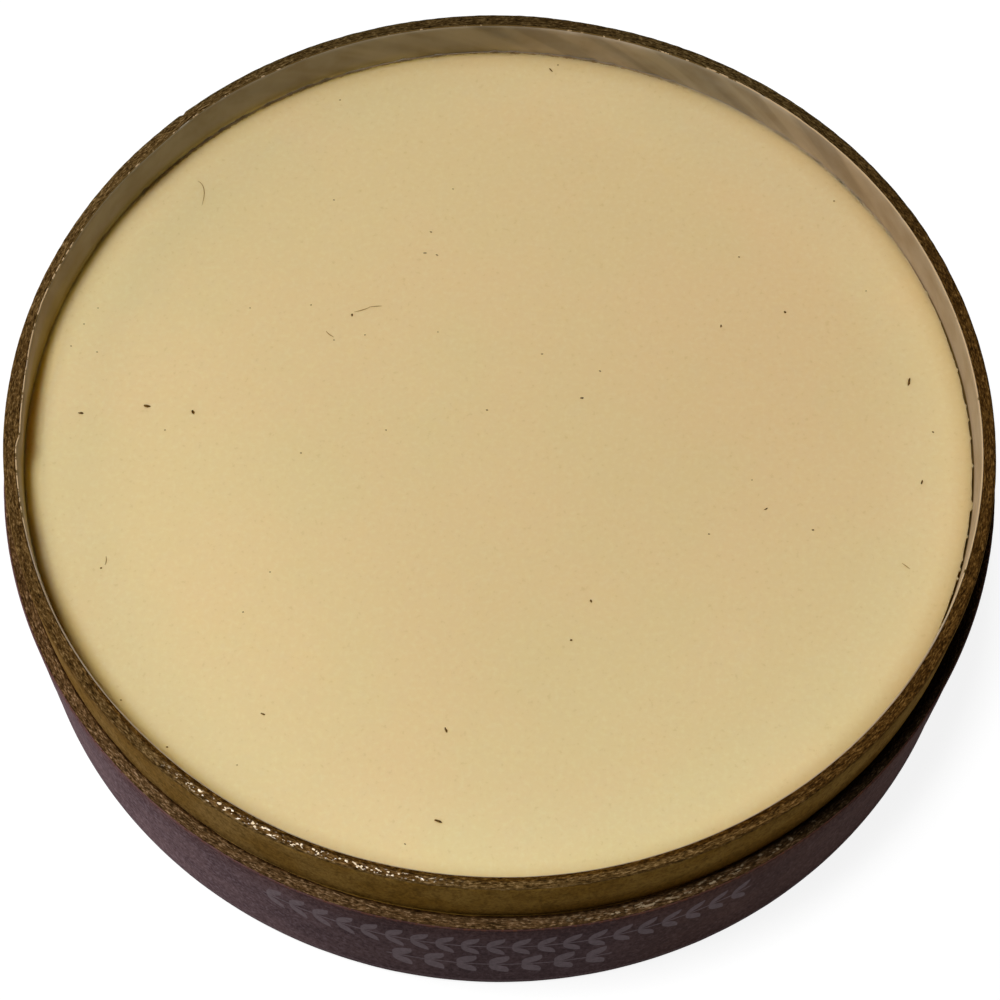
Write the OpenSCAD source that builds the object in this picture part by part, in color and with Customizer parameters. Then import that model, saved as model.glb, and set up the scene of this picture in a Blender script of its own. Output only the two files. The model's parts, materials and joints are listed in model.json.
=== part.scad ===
// Round paperboard pack of cream deodorant, open, without its lid.
// A short outer tube carries a paper label. A taller inner tube is glued into it and stands proud
// as the neck. Both stand round a base disc, and the neck is lined and filled with poured wax.
// Origin: centre of the foot, on the surface the pack stands on. +Z up, -Y to the front.

/* [Outer tube] */
// Diameter over the label
outer_d = 80; // [60:0.5:110]
// Height of the outer tube, from the foot to the shoulder
body_h = 15; // [12:0.5:60]
// Wall of the outer tube's board
outer_wall = 0.7; // [0.5:0.05:2]

/* [Label] */
// Thickness of the printed paper
label_t = 0.15; // [0.08:0.01:0.3]
// Bare board below the label's lower edge
label_low = 0.3; // [0.1:0.05:1]
// Width of the lap where the label's end covers its start
label_lap = 6; // [3:0.5:12]
// Direction of the lap's edge, counted from +X towards +Y
label_seam_at = 62; // [50:1:65]

/* [Neck tube] */
// Height of the neck above the shoulder
neck_rise = 6.3; // [3:0.1:12]
// Wall of the neck tube's board
neck_wall = 0.9; // [0.6:0.05:2]
// Gap between the neck's thickest place and the outer tube, which glue fills
glue_clear = 0.2; // [0.1:0.05:0.6]
// How far the glue line stays below the shoulder
glue_low = 0.1; // [0.1:0.05:1]

/* [Plies] */
// Thickness of the ply that laps over the winding's start
ply_t = 0.3; // [0.2:0.05:0.5]
// How far that ply's end stands out of the neck's round outside
ply_out = 0.2; // [0.05:0.05:0.2]
// Direction of the inner ply's start, counted from +X towards +Y
ply_start_at = 186; // [160:1:200]
// Angle from the inner ply's start back to the outer ply's end
ply_sweep = 51; // [30:1:80]

/* [Liners] */
// Thickness of the greaseproof film
liner_t = 0.12; // [0.05:0.01:0.3]

/* [Base] */
// Thickness of the base disc
base_t = 1.5; // [0.8:0.1:3]
// Depth of the base disc above the foot
base_recess = 1; // [0.2:0.1:2]

/* [Fill] */
// Depth of the wax surface below the rim
fill_depth = 3.9; // [1:0.1:6]
// Gap between wax and liner at the left, where the wax still clings
fill_tight = 0.03; // [0.01:0.01:0.1]
// How far the shrunk wax has moved to the left
fill_shift = 0.12; // [0:0.01:0.4]
// Radius of the wax's upper edge
fill_edge_r = 0.5; // [0.1:0.05:1.5]

/* [Hidden] */
$fn = 180;
past = 1;           // how far a cutter runs past what it cuts
step_arc = 4;       // angle over which film or paper climbs a cut end
fade_arc = 20;      // angle over which a ply's thickness is pressed away
facet_arc = 1;      // angle between the points of a bulge's outline
least_bulge = 0.02; // what is left of a bulge at its flat end

// The outer tube, from the label inwards
label_r = outer_d / 2;
label_mid_r = label_r - label_t / 2;
board_r = label_r - label_t;
bore_r = board_r - outer_wall;
// The neck tube, inside the bore
neck_r = bore_r - glue_clear - ply_out;
neck_bore_r = neck_r - neck_wall;
neck_mid_r = neck_r - neck_wall / 2;
liner_r = neck_bore_r - liner_t;
fill_r = liner_r - fill_tight - fill_shift;
// Heights above the foot
seat_z = base_recess + base_t;
film_z = seat_z + liner_t;
glue_z = body_h - glue_low;
rim_z = body_h + neck_rise;
fill_z = rim_z - fill_depth;
// The wound plies run from the inner ply's start back to the outer ply's end
ply_end_at = ply_start_at - ply_sweep;
// The label's lap, as the angle where its end lies flat again
lap_end_at = label_seam_at + label_lap / board_r * 180 / PI + step_arc;

// 0 at t = 0 and 1 at t = 1, level at both ends
function ease(t) = let (u = min(max(t, 0), 1)) u * u * (3 - 2 * u);

// How far the lapped ply stands out of the neck's outside at an angle: next to nothing at its
// start, its full step at its cut end
function outer_bulge(a) =
    least_bulge + (ply_out - least_bulge) * ease((ply_start_at - a) / ply_sweep);

// How far the same ply stands into the bore: it climbs at its cut start, gives way to the
// outer bulge, and is pressed away past its end
function inner_bulge(a) =
    least_bulge
    + (ply_t - outer_bulge(a))
    * ease((ply_start_at + step_arc / 2 - a) / step_arc)
    * ease((a - ply_end_at + fade_arc) / fade_arc);

// How far the label's end stands out over the label's start
function lap_bulge(a) =
    least_bulge + (label_t - least_bulge) * ease((lap_end_at - a) / step_arc);

function spread(from, to) =
    let (parts = ceil((to - from) / facet_arc))
    [for (i = [0 : parts]) from + (to - from) * i / parts];
inner_angles = spread(ply_end_at - fade_arc, ply_start_at + step_arc / 2);
outer_angles = spread(ply_end_at, ply_start_at);
lap_angles = spread(label_seam_at, lap_end_at);

function polar(r, a) = [r * cos(a), r * sin(a)];

// Outline of the strip between two radii, each given once for every angle
function strip(inner, outer, angles) =
    let (last = len(angles) - 1)
    concat(
        [for (i = [0 : last]) polar(outer[i], angles[i])],
        [for (i = [last : -1 : 0]) polar(inner[i], angles[i])]
    );

function level(r, angles) = [for (a = angles) r];

module ring(outer, inner, z0, z1) {
    translate([0, 0, z0])
        difference() {
            cylinder(r = outer, h = z1 - z0);
            translate([0, 0, -past]) cylinder(r = inner, h = z1 - z0 + 2 * past);
        }
}

module disc(r, z0, thickness) {
    translate([0, 0, z0]) cylinder(r = r, h = thickness);
}

// A prism between two heights on the outline of a strip
module strip_prism(inner, outer, angles, z0, z1) {
    translate([0, 0, z0]) linear_extrude(z1 - z0) polygon(strip(inner, outer, angles));
}

// What the lapped ply takes from the space inside the neck, shrunk by an inset
module ply_bulge_inside(inset, z0, z1) {
    strip_prism(
        [for (a = inner_angles) neck_bore_r - inset - inner_bulge(a)],
        level(neck_bore_r + past, inner_angles),
        inner_angles, z0, z1
    );
}

// The space inside the neck, shrunk by an inset
module neck_inside(inset, z0, z1) {
    difference() {
        disc(neck_bore_r - inset, z0, z1 - z0);
        ply_bulge_inside(inset, z0 - past, z1 + past);
    }
}

module outer_tube() {
    color("#6e5a3a") ring(board_r, bore_r, 0, body_h);
}

// The label follows the board, and its end stands on its start at the lap
module label_wrap() {
    color("#4a3a40") {
        ring(label_r, board_r, label_low, body_h);
        strip_prism(
            level(label_mid_r, lap_angles), [for (a = lap_angles) label_r + lap_bulge(a)],
            lap_angles, label_low, body_h
        );
    }
}

module base_disc() {
    color("#8a7350") disc(bore_r, base_recess, base_t);
}

// Film laminated on the base disc before the disc is pressed in
module base_liner() {
    color("#a39a80") disc(bore_r, seat_z, liner_t);
}

// The neck stands on the base's film. Its lower stretch carries the dried glue line.
module neck_tube() {
    color("#7c6238")
        difference() {
            union() {
                disc(neck_r, film_z, rim_z - film_z);
                disc(bore_r, film_z, glue_z - film_z);
                strip_prism(
                    level(neck_mid_r, outer_angles),
                    [for (a = outer_angles) neck_r + outer_bulge(a)],
                    outer_angles, film_z, rim_z
                );
            }
            neck_inside(0, film_z - past, rim_z + past);
        }
}

// Film against the inside of the neck, over the step of the lapped ply
module neck_liner() {
    color("#9a8a6a")
        difference() {
            neck_inside(0, film_z, rim_z);
            neck_inside(liner_t, film_z - past, rim_z + past);
        }
}

module fill_profile() {
    height = fill_z - film_z;
    square([fill_r - fill_edge_r, height]);
    square([fill_r, height - fill_edge_r]);
    translate([fill_r - fill_edge_r, height - fill_edge_r])
        intersection() {
            circle(r = fill_edge_r);
            square(fill_edge_r);
        }
}

// Poured wax, clinging at the left and shrunk away from the film at the right
module deodorant_fill() {
    color("#dcc896")
        difference() {
            translate([-fill_shift, 0, film_z]) rotate_extrude() fill_profile();
            ply_bulge_inside(liner_t + fill_tight, film_z - past, rim_z);
        }
}

outer_tube();
label_wrap();
base_disc();
base_liner();
neck_tube();
neck_liner();
deodorant_fill();
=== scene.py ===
# %% [markdown]
# This script dresses a round paperboard pack of cream deodorant, open, without its lid. Two wound
# board tubes, a printed paper label, a greaseproof film and a poured wax filling make the real one.
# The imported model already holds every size, so the script starts there: it loads the model and keeps
# its box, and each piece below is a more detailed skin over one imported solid. Modelling by eye
# against a picture would also work, but then the looks and the construction could drift apart.

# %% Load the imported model
import json
import math

import bpy
import numpy as np
from mathutils import Matrix, Vector


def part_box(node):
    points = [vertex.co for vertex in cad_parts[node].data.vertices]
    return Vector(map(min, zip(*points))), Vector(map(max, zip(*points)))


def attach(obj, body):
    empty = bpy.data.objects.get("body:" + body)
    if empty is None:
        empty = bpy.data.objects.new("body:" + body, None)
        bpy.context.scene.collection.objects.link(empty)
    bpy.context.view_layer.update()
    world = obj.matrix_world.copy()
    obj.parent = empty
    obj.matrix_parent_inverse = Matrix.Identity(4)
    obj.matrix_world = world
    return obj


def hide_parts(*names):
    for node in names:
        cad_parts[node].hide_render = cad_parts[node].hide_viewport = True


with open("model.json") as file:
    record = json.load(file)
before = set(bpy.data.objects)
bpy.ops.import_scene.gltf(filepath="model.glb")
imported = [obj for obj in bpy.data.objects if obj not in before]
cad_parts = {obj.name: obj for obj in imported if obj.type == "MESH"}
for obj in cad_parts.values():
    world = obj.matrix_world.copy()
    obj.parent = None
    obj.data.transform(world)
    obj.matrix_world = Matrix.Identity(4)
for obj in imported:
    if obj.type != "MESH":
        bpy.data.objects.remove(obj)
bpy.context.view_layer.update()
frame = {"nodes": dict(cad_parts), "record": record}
print("packed pieces:", ", ".join(sorted(frame["nodes"])))

# %% [markdown]
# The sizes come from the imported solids, in millimetres, because the pack is small and a board wall
# reads better as 0.9 than as 0.0009. Only the unevenness of the wound plies has its own numbers, in
# the next cell: it is a change of thickness along the way round, which no box can tell.

# %% Sizes in millimetres
MM = 0.001


def reach(node):
    """How far a round piece reaches from the axis."""
    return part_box(node)[1].x / MM


def top(node):
    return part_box(node)[1].z / MM


def foot(node):
    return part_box(node)[0].z / MM


mounts = {mount["name"]: mount for mount in frame["record"]["mounts"]}
label_r = reach("label_wrap")
board_r = reach("outer_tube")
bore_r = reach("base_disc")
neck_r = mounts["neck_collar"]["dims"]["r_mm"]
neck_bore_r = reach("neck_liner")
film_t = top("base_liner") - foot("base_liner")
film_r = neck_bore_r - film_t
label_foot_z = foot("label_wrap")
shoulder_z = top("outer_tube")
base_z = foot("base_disc")
film_z = top("base_liner")
wax_z = top("deodorant_fill")
rim_z = top("neck_tube")
print(f"label {label_r:.2f}, board {board_r:.2f}, neck {neck_r:.2f}, neck bore {neck_bore_r:.2f}")
print(f"shoulder at {shoulder_z:.2f}, wax at {wax_z:.2f}, rim at {rim_z:.2f}")

# %% [markdown]
# The neck is wound from plies. One ply starts inside at the left, as a short thick place, and its end
# lies outside further back, as a small notch. The saw also left the wall uneven in thickness. That
# is a matter of tenths, and no rule gives it, so two short tables hold it: how far the outer side
# stands out, and how far the bore's edge leans at the rim. The inner step and the lean show at the
# rim and fade towards the wax. Angles count from the right side towards the back. The curve that
# eases from 0 to 1 gives every step a soft start and end.

# %% The step of the wound plies
PLY_T = 0.3
PLY_START_AT = 186
PLY_END_AT = 135
PLY_RUN_OUT = 19
PLY_CLIMB = 1.2
PLY_NOTCH = 0.6
NOTCH_DEPTH = 0.13
OUTER_SIDE = (
    (0, -0.14), (20, -0.14), (32, -0.08), (81, -0.06), (85, 0.04), (118, 0.09), (137, 0.05),
    (165, 0), (320, 0), (345, -0.1), (360, -0.14),
)
BORE_EDGE = (
    (0, -0.28), (10, -0.34), (20, -0.36), (30, -0.27), (50, -0.25), (60, -0.21), (70, -0.26), (90, -0.2),
    (100, -0.08), (113, 0.04), (122, 0), (128, 0.1), (133, 0.08), (141, -0.1), (147, 0.02), (158, 0.08),
    (166, 0.16), (174, 0), (186, -0.06), (196, -0.1), (210, -0.04), (230, -0.15), (250, -0.04),
    (280, -0.06), (300, -0.12), (330, -0.14), (350, -0.22), (360, -0.28),
)


def ease(share):
    """0 below 0, 1 above 1, and a smooth climb between."""
    held = np.clip(share, 0, 1)
    return held * held * (3 - 2 * held)


def between(values, start, end, fade):
    """1 between two values, fading to 0 outside them."""
    return ease((values - start) / fade + 1) * ease((end - values) / fade + 1)


def read_off(table, azimuth):
    """A value between the entries of a table of bearings, with its corners rounded off."""
    bearings, values = zip(*table)
    near = [np.interp(azimuth + off, bearings, values, period=360) for off in (-2, -1, 0, 1, 2)]
    return sum(near) / len(near)


def outer_step(azimuth):
    """How far the neck's outer side stands out, with the notch at the ply's end."""
    notch = NOTCH_DEPTH * ease(1 - np.abs(azimuth - PLY_END_AT) / PLY_NOTCH)
    return read_off(OUTER_SIDE, azimuth) - notch


def inner_step(azimuth):
    """How far the ply stands into the bore."""
    climb = ease((PLY_START_AT - azimuth) / (2 * PLY_CLIMB) + 0.5)
    fade = ease((azimuth - PLY_START_AT + PLY_RUN_OUT) / (0.75 * PLY_RUN_OUT))
    return PLY_T * climb * fade


def bore_at(azimuth, height):
    """Radius of the bore: the step and the lean show at the rim and are gone at the wax."""
    risen = ease((height - wax_z) / (rim_z - wax_z))
    return neck_bore_r + (read_off(BORE_EDGE, azimuth) - inner_step(azimuth)) * risen


print("wall past the inner step:", round(float(neck_r - bore_at(np.array(182.0), rim_z)), 3))

# %% [markdown]
# A cut board edge, a film and a hand-filled surface are all a little uneven, and that unevenness has
# to close on itself once round. A table of seeded random numbers, read with smooth steps between
# its entries, gives such a surface: it repeats after a whole number of cells, costs one array
# operation, and is the same in each run.

# %% Seeded unevenness
def uneven(seed, along, across, laps=None):
    """Smooth noise from -1 to 1 at cell places; with laps it repeats after that many cells along."""
    along, across = np.broadcast_arrays(np.asarray(along, float), np.asarray(across, float))
    cells = laps or int(along.max()) + 2
    rows = int(across.max()) + 2
    table = np.random.default_rng(seed).uniform(-1, 1, (cells, rows))
    left = np.floor(along).astype(int)
    low = np.floor(across).astype(int)
    to_right = ease(along - left)
    to_high = ease(across - low)
    right = (left + 1) % cells
    left = left % cells
    lower = table[left, low] * (1 - to_right) + table[right, low] * to_right
    higher = table[left, low + 1] * (1 - to_right) + table[right, low + 1] * to_right
    return lower * (1 - to_high) + higher * to_high


def around(seed, azimuth, laps, across=0.0):
    """Unevenness once round the pack, in that many cells."""
    return uneven(seed, azimuth / 360 * laps, across, laps)


print("uneven sample:", np.round(around(1, np.array([0.0, 90.0, 180.0, 270.0]), 12), 2))

# %% [markdown]
# Every large piece is a round one, so one builder serves them all. It takes one closed outline for
# each direction round the axis, as radii and heights, and joins neighbours with quads. A lathe
# modifier would do for a perfect ring, but here each direction has its own outline, which is how
# torn fibres, ply steps and a ragged wax edge get into real geometry. Discs close at two poles. The
# real neck is pressed a little oval, so the builder can stretch a piece from left to right.

# %% Round pieces
PRESSED = 1.005


def mesh_piece(name, places, faces):
    """A smooth-shaded object from places in millimetres."""
    mesh = bpy.data.meshes.new(name)
    mesh.from_pydata((np.asarray(places) * MM).tolist(), [], faces)
    mesh.validate()
    mesh.shade_smooth()
    piece = bpy.data.objects.new(name, mesh)
    bpy.context.scene.collection.objects.link(piece)
    mesh.calc_loop_triangles()
    print(f"{name}: {len(mesh.loop_triangles)} triangles")
    return piece


def turned(azimuth, radii, heights, stretch):
    """Places on the outlines, one outline for each azimuth."""
    turn = np.radians(azimuth)[:, None]
    rows = np.broadcast_arrays(radii * np.cos(turn) * stretch, radii * np.sin(turn), heights)
    return np.stack(rows, -1).reshape(-1, 3)


def quads(columns, points, closed):
    i = np.arange(columns)[:, None]
    j = np.arange(points if closed else points - 1)[None, :]
    after_i = (i + 1) % columns * points
    after_j = (j + 1) % points
    i = i * points
    return np.stack([i + j, after_i + j, after_i + after_j, i + after_j], -1).reshape(-1, 4).tolist()


def spread(azimuth, outline):
    """Radii and heights of an outline, with a row for each direction."""
    return [np.stack([np.broadcast_to(v, azimuth.shape) for v in part], 1) for part in zip(*outline)]


def ring_piece(name, azimuth, outline, stretch=1.0):
    """A ring from (radius, height) pairs that run outwards below and inwards above."""
    radii, heights = spread(azimuth, outline)
    faces = quads(len(azimuth), len(outline), True)
    return mesh_piece(name, turned(azimuth, radii, heights, stretch), faces)


def disc_piece(name, azimuth, outline, low_z, high_z, stretch=1.0):
    """A disc from such pairs, closed by a point on the axis below and above."""
    radii, heights = spread(azimuth, outline)
    columns, points = radii.shape
    places = np.vstack([turned(azimuth, radii, heights, stretch), [[0, 0, low_z], [0, 0, high_z]]])
    faces = quads(columns, points, False)
    low, high = columns * points, columns * points + 1
    for i in range(columns):
        after = (i + 1) % columns
        faces.append([low, after * points, i * points])
        faces.append([i * points + points - 1, after * points + points - 1, high])
    return mesh_piece(name, places, faces)


def directions(columns):
    return np.arange(columns) * 360 / columns


# %% [markdown]
# A material is a small network of nodes. Wrapping a socket in a class lets the network be written as
# a sum, so `1 - mask` or `depth * 0.5` adds its Math node by itself. Colours don't go through Math,
# which would turn them grey: they are mixed by a Mix node. Colours are written as the eight-bit
# values a picture shows, and turned into the linear values that Blender works in.

# %% Shader sums
def shade(red, green, blue):
    """A picture's colour as Blender's linear colour."""
    parts = [part / 255 for part in (red, green, blue)]
    linear = [p / 12.92 if p <= 0.04045 else ((p + 0.055) / 1.055) ** 2.4 for p in parts]
    return (*linear, 1)


class Wire:
    """A socket of a material, on which sums can be written."""

    def __init__(self, finish, socket):
        self.finish = finish
        self.socket = socket

    def __add__(self, other):
        return self.finish.math("ADD", self, other)

    def __radd__(self, other):
        return self.finish.math("ADD", other, self)

    def __sub__(self, other):
        return self.finish.math("SUBTRACT", self, other)

    def __rsub__(self, other):
        return self.finish.math("SUBTRACT", other, self)

    def __mul__(self, other):
        return self.finish.math("MULTIPLY", self, other)

    def __rmul__(self, other):
        return self.finish.math("MULTIPLY", other, self)


class Finish:
    """One material, with the measures that the finishes of this pack share."""

    def __init__(self, name):
        self.material = bpy.data.materials.new(name)
        self.material.use_nodes = True
        self.tree = self.material.node_tree
        self.skin = self.tree.nodes["Principled BSDF"]
        self.colour = None
        place = self.node("ShaderNodeTexCoord", {}, {}, "Object")
        self.place = self.vector("SCALE", place, Scale=1 / MM)
        self.height = self.node("ShaderNodeSeparateXYZ", {}, {0: self.place}, "Z")
        flat = self.vector("MULTIPLY", self.place, (1, 1, 0))
        self.radius = self.node("ShaderNodeVectorMath", {"operation": "LENGTH"}, {0: flat}, "Value")
        self.outward = self.vector("NORMALIZE", flat)

    def node(self, kind, settings, sockets, out=0):
        """Adds a node, sets it up, fills its sockets and gives the wanted output."""
        made = self.tree.nodes.new(kind)
        for setting, value in settings.items():
            setattr(made, setting, value)
        for socket, value in sockets.items():
            self.feed(made.inputs[socket], value)
        return Wire(self, made.outputs[out])

    def feed(self, socket, value):
        if isinstance(value, Wire):
            self.tree.links.new(value.socket, socket)
        else:
            socket.default_value = value

    def math(self, operation, first, second=0.0):
        return self.node("ShaderNodeMath", {"operation": operation}, {0: first, 1: second})

    def vector(self, operation, first, second=(0, 0, 0), **named):
        return self.node("ShaderNodeVectorMath", {"operation": operation}, {0: first, 1: second, **named})

    def facing(self, bearing):
        """1 where the wall faces this way, 0 at right angles to it, -1 where it faces away."""
        turn = math.radians(bearing)
        sockets = {0: self.outward, 1: (math.cos(turn), math.sin(turn), 0)}
        return self.node("ShaderNodeVectorMath", {"operation": "DOT_PRODUCT"}, sockets, "Value")

    def arc(self, bearing, radius):
        """Millimetres along the wall, counted from a bearing; the seam is opposite."""
        return self.math("ARCTAN2", self.facing(bearing + 90), self.facing(bearing)) * radius

    def flat(self, along, up):
        """Texture space on the unrolled wall."""
        return self.node("ShaderNodeCombineXYZ", {}, {0: along, 1: up})

    def cloud(self, space, scale=1.0, detail=2.0, rough=0.5):
        sockets = {"Vector": space, "Scale": scale, "Detail": detail, "Roughness": rough}
        return self.node("ShaderNodeTexNoise", {}, sockets)

    def wound(self, middle, cells, detail, rough):
        """Noise that follows the winding: cells per millimetre along, across and up the wall."""
        along, across, up = cells
        arm = (self.radius - middle) * across + middle * along
        lift = self.node("ShaderNodeCombineXYZ", {}, {2: self.height * up})
        space = self.vector("ADD", self.vector("SCALE", self.outward, Scale=arm), lift)
        return self.cloud(space, 1.0, detail, rough)

    def ramp(self, value, start, end):
        """0 at start, 1 at end, smooth between; start may be the larger."""
        sockets = {"Value": value, "From Min": start, "From Max": end}
        return self.node("ShaderNodeMapRange", {"interpolation_type": "SMOOTHSTEP"}, sockets)

    def towards(self, bearing, start, end):
        """A mask by direction: 0 and 1 where the wall's turn to a bearing has these two values."""
        return self.ramp(self.facing(bearing), start, end)

    def at_height(self, start, end):
        return self.ramp(self.height, start, end)

    def at_radius(self, start, end):
        return self.ramp(self.radius, start, end)

    def mix(self, share, first, second):
        return self.node("ShaderNodeMix", {"data_type": "RGBA"}, {0: share, 6: first, 7: second}, 2)

    def tint(self, share, colour, tint):
        """Multiplies a colour by another, as a see-through stain does; 1 changes nothing."""
        settings = {"data_type": "RGBA", "blend_type": "MULTIPLY"}
        return self.node("ShaderNodeMix", settings, {0: share, 6: colour, 7: (*tint, 1)}, 2)

    def paint(self, share, tone):
        """Covers the finish's colour with another, as far as the share says."""
        self.colour = self.mix(share, self.colour, shade(*tone))

    def stain(self, share, tint):
        """Tints the finish's colour, as far as the share says."""
        self.colour = self.tint(share, self.colour, tint)

    def relief(self, height, distance):
        """A bump in which 1 stands for that many millimetres."""
        sockets = {"Strength": 1.0, "Distance": distance * MM, "Height": height}
        return self.node("ShaderNodeBump", {}, sockets)

    def wear(self, piece, slot=None, **sockets):
        """Feeds the shader's sockets and dresses the piece."""
        self.feed(self.skin.inputs["Base Color"], self.colour)
        for name, value in sockets.items():
            self.feed(self.skin.inputs[name.replace("_", " ")], value)
        self.dress(piece)

    def dress(self, piece):
        piece.data.materials.clear()
        piece.data.materials.append(self.material)


print("linear value of a mid grey:", round(shade(128, 128, 128)[0], 3))

# %% [markdown]
# The neck is the proud inner tube. Its cut edge is what the eye meets first: a saw leaves grey-brown
# board fibres torn up and pressed down, in layers that follow the winding. Fine enough columns, a
# tenth of a millimetre apart, carry that roughness as geometry, so that it shades and glints from
# any side. Below the shoulder the tube is glued into the outer one, with a dark gap above the glue.

# %% Neck board
NECK_COLUMNS = 2400
CUT_ROWS = 13
EDGE_ROUND = 0.22
GLUE_LOW = 0.3


def torn(seed, azimuth, radius, middle, depth):
    """Height of a cut board edge below its plane: layers along the winding, fibres and pits."""
    across = (radius - middle) + 2
    layers = uneven(seed, azimuth / 360 * 240, across * 6, 240)
    fibres = uneven(seed + 1, azimuth / 360 * 760, across * 9, 760)
    grains = uneven(seed + 2, azimuth / 360 * 1500, across * 12, 1500)
    return depth * (0.2 * layers + 0.35 * fibres + 0.5 * grains - 0.6)


def neck_outline(azimuth):
    outer = neck_r + outer_step(azimuth) + 0.006 * around(11, azimuth, 90)
    inner = bore_at(azimuth, rim_z)
    bore = bore_at(azimuth, wax_z)
    middle = (neck_r + neck_bore_r) / 2
    glue_z = shoulder_z - GLUE_LOW + 0.12 * around(12, azimuth, 60)
    outline = [(bore, film_z), (bore_r, film_z), (bore_r, glue_z - 0.3)]
    outline += [(bore_r - 0.04, glue_z), ((bore_r + neck_r) / 2, glue_z - 0.12), (outer, glue_z - 0.08)]
    for z in (shoulder_z, shoulder_z + 2, shoulder_z + 4, rim_z - 1, rim_z - 0.35):
        outline.append((outer + 0.012 * around(13, azimuth, 150, z), z))
    worn = EDGE_ROUND * (1 + 0.12 * around(14, azimuth, 420) + 0.06 * around(15, azimuth, 90))
    outline.append((outer - 0.1 * worn, rim_z - 1.1 * worn))
    outline.append((outer - 0.4 * worn, rim_z - 0.45 * worn))
    for share in np.linspace(0, 1, CUT_ROWS):
        radius = (outer - worn) * (1 - share) + (inner + 0.03) * share
        depth = 0.03 + 0.06 * math.sin(math.pi * share)
        outline.append((radius, rim_z - 0.02 + torn(21, azimuth, radius, middle, depth)))
    outline.append((inner + 0.01, rim_z - 0.12))
    for z in (rim_z - 0.3, rim_z - 1, rim_z - 2, rim_z - 3, wax_z, (wax_z + film_z) / 2):
        outline.append((bore_at(azimuth, z), z))
    return outline


azimuth = directions(NECK_COLUMNS)
neck_board = ring_piece("neck_board", azimuth, neck_outline(azimuth), PRESSED)
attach(neck_board, "root")
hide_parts("neck_tube")

# %% [markdown]
# The shoulder is the cut top of the shorter outer tube, on which a lid would rest. It is the same
# board with the same torn edge. The saw pushed its inner lip over the glue, so only a thin dark line
# is left between it and the neck, darkened further by painted shade on the lip in its finish.

# %% Outer board
def shoulder_outline(azimuth):
    middle = (board_r + bore_r) / 2
    lip_r = neck_r + outer_step(azimuth) + 0.1 + 0.03 * around(32, azimuth, 200)
    outline = [(bore_r, 0.12), (bore_r + 0.1, 0), (board_r - 0.12, 0), (board_r, 0.12)]
    outline += [(board_r, 2), (board_r, shoulder_z / 2), (board_r, shoulder_z - 0.1)]
    for share in np.linspace(0, 1, CUT_ROWS):
        radius = (board_r - 0.01) * (1 - share) + (lip_r + 0.03) * share
        depth = 0.03 + 0.04 * math.sin(math.pi * share)
        outline.append((radius, shoulder_z + torn(31, azimuth, radius, middle, depth)))
    outline += [(lip_r, shoulder_z - 0.08), (lip_r, shoulder_z - 0.16), (bore_r, shoulder_z - 0.17)]
    outline += [(bore_r, shoulder_z - 1), (bore_r, shoulder_z / 2)]
    return outline


outer_board = ring_piece("outer_board", azimuth, shoulder_outline(azimuth))
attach(outer_board, "root")
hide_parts("outer_tube")

# %% [markdown]
# The label is one strip of printed paper, glued round the outer board, with its end lapped over its
# start at the back. Paper on board shows the board's slow unevenness, and its trimmed edges waver
# by a few hundredths. All of that is small, but it breaks up the gloss along the wall.

# %% Label paper
LABEL_COLUMNS = 1800
LABEL_T = label_r - board_r
LABEL_SEAM_AT = 62
LABEL_LAP = 9
LAP_EDGE = 0.3
LAP_FADE = 3


def lap(azimuth):
    """How far the label's end stands over its start, with a crisp outer edge."""
    rise = ease((azimuth - LABEL_SEAM_AT) / LAP_EDGE)
    fall = ease((LABEL_SEAM_AT + LABEL_LAP + LAP_FADE - azimuth) / LAP_FADE)
    return LABEL_T * rise * fall


def label_outline(azimuth):
    outer = label_r + lap(azimuth)
    low = label_foot_z + 0.03 * around(41, azimuth, 200)
    outline = [(board_r, label_foot_z + 0.02), (outer - 0.03, low), (outer, low + 0.06)]
    for z in np.linspace(1, shoulder_z - 0.6, 9):
        swell = 0.02 * around(42, azimuth, 140, z / 2) - 0.02
        outline.append((outer + swell, z))
    trim = shoulder_z - 0.03 + 0.04 * around(43, azimuth, 700)
    outline += [(outer - 0.01, trim - 0.16), (outer - 0.03, trim - 0.04), (outer - 0.07, trim)]
    return outline + [(board_r + 0.02, trim), (board_r, trim - 0.1), (board_r, shoulder_z / 2)]


azimuth = directions(LABEL_COLUMNS)
label_paper = ring_piece("label_paper", azimuth, label_outline(azimuth))
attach(label_paper, "root")
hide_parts("label_wrap")

# %% [markdown]
# The film is thin greaseproof paper against the inside of the neck. It follows the step of the ply,
# stands off the board in slow waves, and its cut edge shows as a thin pale line, partly its own pale
# colour and partly a painted highlight at the left and right. At the right the shrinking wax has
# pulled its foot off the board. A solid with both faces is used instead of a bare sheet, so the edge
# has a real width.

# %% Neck film
FILM_COLUMNS = 1800
FILM_SLACK = 0.1


def shrunk(azimuth):
    """1 in the middle of the stretch at the right where the wax has let go, 0 elsewhere."""
    off = (azimuth + 184) % 360 - 180
    return ease((40 - np.abs(off)) / 25)


def film_edge(azimuth):
    """Height of the film's cut edge: lowest at the front, where the board's lip hides it."""
    front = between(azimuth, 216, 318, 24)
    nicks = 0.1 * np.clip(around(53, azimuth, 330) - 0.35, 0, 1) * (1 - shrunk(azimuth))
    return rim_z - 0.04 - 0.28 * front + 0.02 * around(51, azimuth, 160) - nicks


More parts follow.
